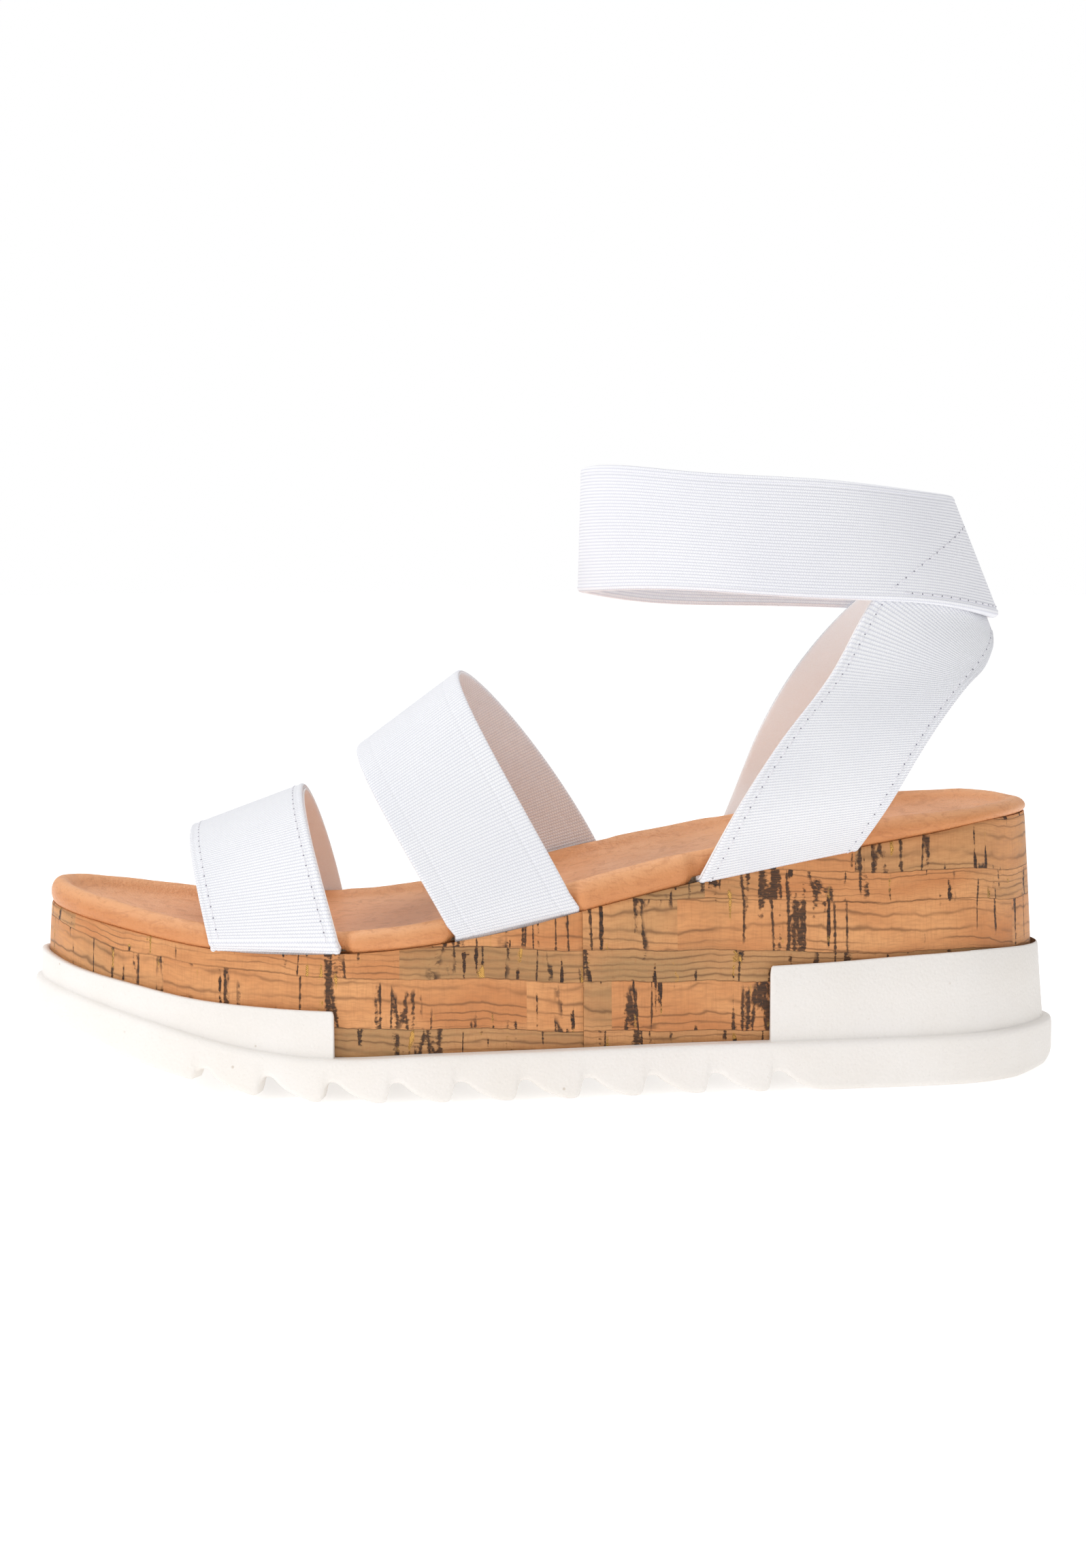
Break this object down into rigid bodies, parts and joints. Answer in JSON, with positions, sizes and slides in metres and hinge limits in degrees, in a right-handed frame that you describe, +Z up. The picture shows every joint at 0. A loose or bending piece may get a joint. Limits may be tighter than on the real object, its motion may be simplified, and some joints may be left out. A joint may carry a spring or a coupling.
{
  "type": "wedge sandal",
  "caption": "Left wedge sandal with white elastic toe, instep and ankle straps, a tan leather footbed, a cork-wrapped wedge and a white saw-tooth sole.",
  "frame": {"origin": "on the ground plane, in the middle of the sole unit's length and width", "axes": "+X from toe to heel, +Y towards the inner side of the foot, +Z up"},
  "size_m": [0.2636, 0.0935, 0.1561],
  "materials": {
    "sole_foam": "matt white moulded foam with a fine pebbled skin",
    "core_foam": "light closed-cell foam",
    "cork": "waxed cork veneer in rows of strips with dark streaks",
    "filler": "pressed cork sheet",
    "board": "grey-brown fibre board",
    "footbed_foam": "soft latex foam",
    "tan_leather": "semi-gloss tan leather, wrinkled over the rim",
    "elastic": "white ribbed elastic webbing",
    "lining": "beige-pink brushed microfibre",
    "thread": "white polyester sewing thread"
  },
  "bodies": {
    "sole": {"outsole": "sole_foam", "wedge_core": "core_foam", "cork_wrap_front": "cork", "cork_wrap_rear": "cork", "bottom_filler": "filler", "insole_board": "board", "footbed_foam": "footbed_foam", "footbed_cover": "tan_leather", "toe_strap": "elastic", "toe_strap_lining": "lining", "toe_strap_thread": "thread", "instep_strap": "elastic", "quarter_root_lateral": "elastic", "quarter_root_medial": "elastic", "quarter_root_lining_lateral": "lining", "quarter_root_lining_medial": "lining"},
    "ankle_strap": {"quarter_strap_lateral": "elastic", "quarter_strap_medial": "elastic", "quarter_lining_lateral": "lining", "quarter_lining_medial": "lining", "quarter_thread_lateral": "thread", "quarter_thread_medial": "thread", "ankle_band": "elastic", "ankle_join_thread": "thread"}
  },
  "joints": [
    {"name": "ankle_strap_swing", "type": "hinge", "parent": "sole", "child": "ankle_strap", "pos_m": [0.0735, 0, 0.081], "axis": [0, 1, 0], "range_deg": [-20, 25], "stiffness_Nm_per_rad": 0.3}
  ]
}
